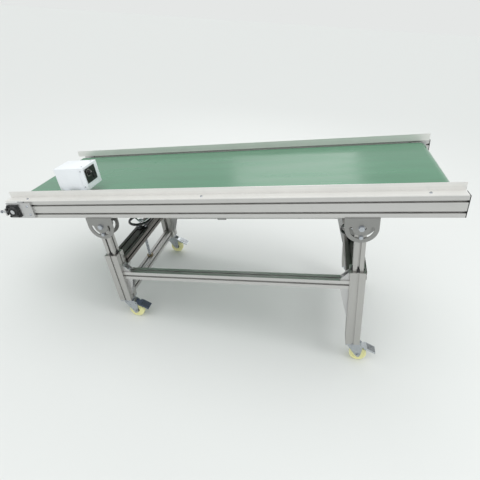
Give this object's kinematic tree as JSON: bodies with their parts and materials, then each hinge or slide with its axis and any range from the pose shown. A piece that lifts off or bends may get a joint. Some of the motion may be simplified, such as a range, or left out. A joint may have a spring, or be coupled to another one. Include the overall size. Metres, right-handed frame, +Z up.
{
  "type": "belt conveyor section",
  "caption": "Inclined belt conveyor section: flat green belt between slotted aluminium rails with low side guards, on a castered stand with handwheel screw lifts and tilting pivots.",
  "frame": {"origin": "on the floor, midway between the leg pairs and on the bed's centre plane", "axes": "+X horizontally towards the raised end, +Y across the belt to the gearbox side, +Z up"},
  "size_m": [1.8408, 0.752, 0.8929],
  "materials": {
    "anodised_aluminium": "satin anodised extrusion",
    "dark_crossbar": "satin extrusion in the bed's shade",
    "bright_aluminium": "bright satin sheet",
    "bracket_steel": "dull satin plate",
    "zinc_steel": "zinc plated",
    "galvanised_fork": "galvanised pressing",
    "yellow_polyurethane": "translucent yellow cast polyurethane",
    "blue_grey_pedal": "dark blue-grey",
    "black_plastic": "black moulded",
    "black_cast_iron": "black painted casting",
    "nut_bronze": "machined bronze",
    "green_belt": "smooth green PVC with a soft sheen",
    "blue_paint": "blue enamel",
    "white_paint": "white powder coat",
    "panel_black": "black control plate"
  },
  "bodies": {
    "base_frame": {"left_lower_legs": "anodised_aluminium", "right_lower_legs": "anodised_aluminium", "side_beams": "anodised_aluminium", "left_fixed_crossbar": "dark_crossbar", "right_fixed_crossbar": "dark_crossbar", "corner_brackets": "bright_aluminium", "frame_bolts": "zinc_steel", "slide_guides": "black_plastic", "screw_bearings": "black_cast_iron", "caster_plates": "zinc_steel"},
    "left_screw": {"left_handwheel": "black_plastic", "left_lead_screw": "zinc_steel"},
    "right_screw": {"right_handwheel": "black_plastic", "right_lead_screw": "zinc_steel"},
    "left_lift": {"left_upper_legs": "anodised_aluminium", "left_lift_crossbar": "anodised_aluminium", "left_screw_nut": "nut_bronze", "left_clamp_bolts": "zinc_steel"},
    "right_lift": {"right_upper_legs": "anodised_aluminium", "right_lift_crossbar": "anodised_aluminium", "right_screw_nut": "nut_bronze", "right_pivot_and_clamp_bolts": "zinc_steel"},
    "left_pivot": {"left_pivot_bolts": "zinc_steel"},
    "bed": {"near_rail": "anodised_aluminium", "far_rail": "anodised_aluminium", "near_guard": "bright_aluminium", "far_guard": "bright_aluminium", "bed_screws": "zinc_steel", "rail_end_caps": "black_plastic", "slider_plate": "bracket_steel", "bed_cross_members": "anodised_aluminium", "pivot_brackets": "bracket_steel", "take_up_brackets": "bright_aluminium", "take_up_bolts": "zinc_steel", "bearing_housings": "black_cast_iron", "idler_brackets": "bright_aluminium", "belt": "green_belt", "roller_brackets": "bracket_steel", "gearbox": "blue_paint", "motor": "blue_paint", "control_box": "white_paint", "control_panel": "panel_black", "cable_gland": "black_plastic"},
    "drive_drum": {"drive_drum": "bright_aluminium"},
    "idler_drum": {"idler_drum": "bright_aluminium"},
    "return_roller": {"return_roller": "bright_aluminium"},
    "speed_knob": {"speed_knob": "black_plastic"},
    "power_switch": {"power_switch": "black_plastic"},
    "near_left_caster": {"near_left_caster_fork": "galvanised_fork"},
    "near_left_wheel": {"near_left_caster_wheel": "yellow_polyurethane"},
    "near_left_brake": {"near_left_brake_pedal": "blue_grey_pedal"},
    "far_left_caster": {"far_left_caster_fork": "galvanised_fork"},
    "far_left_wheel": {"far_left_caster_wheel": "yellow_polyurethane"},
    "far_left_brake": {"far_left_brake_pedal": "blue_grey_pedal"},
    "near_right_caster": {"near_right_caster_fork": "galvanised_fork"},
    "near_right_wheel": {"near_right_caster_wheel": "yellow_polyurethane"},
    "near_right_brake": {"near_right_brake_pedal": "blue_grey_pedal"},
    "far_right_caster": {"far_right_caster_fork": "galvanised_fork"},
    "far_right_wheel": {"far_right_caster_wheel": "yellow_polyurethane"},
    "far_right_brake": {"far_right_brake_pedal": "blue_grey_pedal"}
  },
  "joints": [
    {"name": "left_wheel_spin", "type": "hinge", "parent": "base_frame", "child": "left_screw", "pos_m": [-0.52455, 0, 0.63231], "axis": [-0.1668, 0, 0.986], "range_deg": [-7200, 0]},
    {"name": "right_wheel_spin", "type": "hinge", "parent": "base_frame", "child": "right_screw", "pos_m": [0.52455, 0, 0.80979], "axis": [-0.1668, 0, 0.986], "range_deg": [-7200, 3600]},
    {"name": "left_lift_slide", "type": "slide", "parent": "base_frame", "child": "left_lift", "axis": [-0.1668, 0, 0.986], "range_m": [0, 0.08]},
    {"name": "right_lift_slide", "type": "slide", "parent": "base_frame", "child": "right_lift", "axis": [-0.1668, 0, 0.986], "range_m": [-0.04, 0.08]},
    {"name": "left_end_tilt", "type": "hinge", "parent": "left_lift", "child": "left_pivot", "pos_m": [-0.50436, 0, 0.51301], "axis": [0, 1, 0], "range_deg": [-0.5, 4.8]},
    {"name": "right_end_tilt", "type": "hinge", "parent": "left_pivot", "child": "bed", "pos_m": [-0.50436, 0, 0.51301], "axis": [0, 1, 0], "range_deg": [-4.8, 2.6]},
    {"name": "drive_drum_spin", "type": "hinge", "parent": "bed", "child": "drive_drum", "pos_m": [-0.91518, 0, 0.52536], "axis": [0, 1, 0], "continuous": true},
    {"name": "idler_drum_spin", "type": "hinge", "parent": "bed", "child": "idler_drum", "pos_m": [0.80439, 0, 0.81626], "axis": [0, 1, 0], "continuous": true},
    {"name": "return_roller_spin", "type": "hinge", "parent": "bed", "child": "return_roller", "pos_m": [0.01583, 0, 0.62748], "axis": [0, 1, 0], "continuous": true},
    {"name": "speed_knob_turn", "type": "hinge", "parent": "bed", "child": "speed_knob", "pos_m": [-0.57505, -0.231, 0.71505], "axis": [0.986, 0, 0.1668], "range_deg": [0, 270]},
    {"name": "power_switch_rock", "type": "hinge", "parent": "bed", "child": "power_switch", "pos_m": [-0.57205, -0.2, 0.6973], "axis": [0, 1, 0], "range_deg": [0, 14]},
    {"name": "near_left_swivel", "type": "hinge", "parent": "base_frame", "child": "near_left_caster", "pos_m": [-0.43614, -0.297, 0.10974], "axis": [-0.1668, 0, 0.986], "continuous": true},
    {"name": "near_left_wheel_spin", "type": "hinge", "parent": "near_left_caster", "child": "near_left_wheel", "pos_m": [-0.39552, -0.297, 0.0375], "axis": [0, 1, 0], "continuous": true},
    {"name": "near_left_brake_press", "type": "hinge", "parent": "near_left_caster", "child": "near_left_brake", "pos_m": [-0.39384, -0.297, 0.08748], "axis": [0, 1, 0], "range_deg": [0, 12]},
    {"name": "far_left_swivel", "type": "hinge", "parent": "base_frame", "child": "far_left_caster", "pos_m": [-0.43614, 0.297, 0.10974], "axis": [-0.1668, 0, 0.986], "continuous": true},
    {"name": "far_left_wheel_spin", "type": "hinge", "parent": "far_left_caster", "child": "far_left_wheel", "pos_m": [-0.39552, 0.297, 0.0375], "axis": [0, 1, 0], "continuous": true},
    {"name": "far_left_brake_press", "type": "hinge", "parent": "far_left_caster", "child": "far_left_brake", "pos_m": [-0.39384, 0.297, 0.08748], "axis": [0, 1, 0], "range_deg": [0, 12]},
    {"name": "near_right_swivel", "type": "hinge", "parent": "base_frame", "child": "near_right_caster", "pos_m": [0.64298, -0.297, 0.10974], "axis": [-0.1668, 0, 0.986], "continuous": true},
    {"name": "near_right_wheel_spin", "type": "hinge", "parent": "near_right_caster", "child": "near_right_wheel", "pos_m": [0.68359, -0.297, 0.0375], "axis": [0, 1, 0], "continuous": true},
    {"name": "near_right_brake_press", "type": "hinge", "parent": "near_right_caster", "child": "near_right_brake", "pos_m": [0.68528, -0.297, 0.08748], "axis": [0, 1, 0], "range_deg": [0, 12]},
    {"name": "far_right_swivel", "type": "hinge", "parent": "base_frame", "child": "far_right_caster", "pos_m": [0.64298, 0.297, 0.10974], "axis": [-0.1668, 0, 0.986], "continuous": true},
    {"name": "far_right_wheel_spin", "type": "hinge", "parent": "far_right_caster", "child": "far_right_wheel", "pos_m": [0.68359, 0.297, 0.0375], "axis": [0, 1, 0], "continuous": true},
    {"name": "far_right_brake_press", "type": "hinge", "parent": "far_right_caster", "child": "far_right_brake", "pos_m": [0.68528, 0.297, 0.08748], "axis": [0, 1, 0], "range_deg": [0, 12]}
  ],
  "couplings": [
    {"joint": "left_wheel_spin", "follows": "left_lift_slide", "rad_per_m": -1570.8},
    {"joint": "left_end_tilt", "follows": "left_lift_slide", "rad_per_m": 0.93985},
    {"joint": "right_wheel_spin", "follows": "right_lift_slide", "rad_per_m": -1570.8},
    {"joint": "right_end_tilt", "follows": "right_lift_slide", "rad_per_m": -0.93985},
    {"joint": "idler_drum_spin", "follows": "drive_drum_spin", "ratio": 1},
    {"joint": "return_roller_spin", "follows": "drive_drum_spin", "ratio": -1.6}
  ]
}
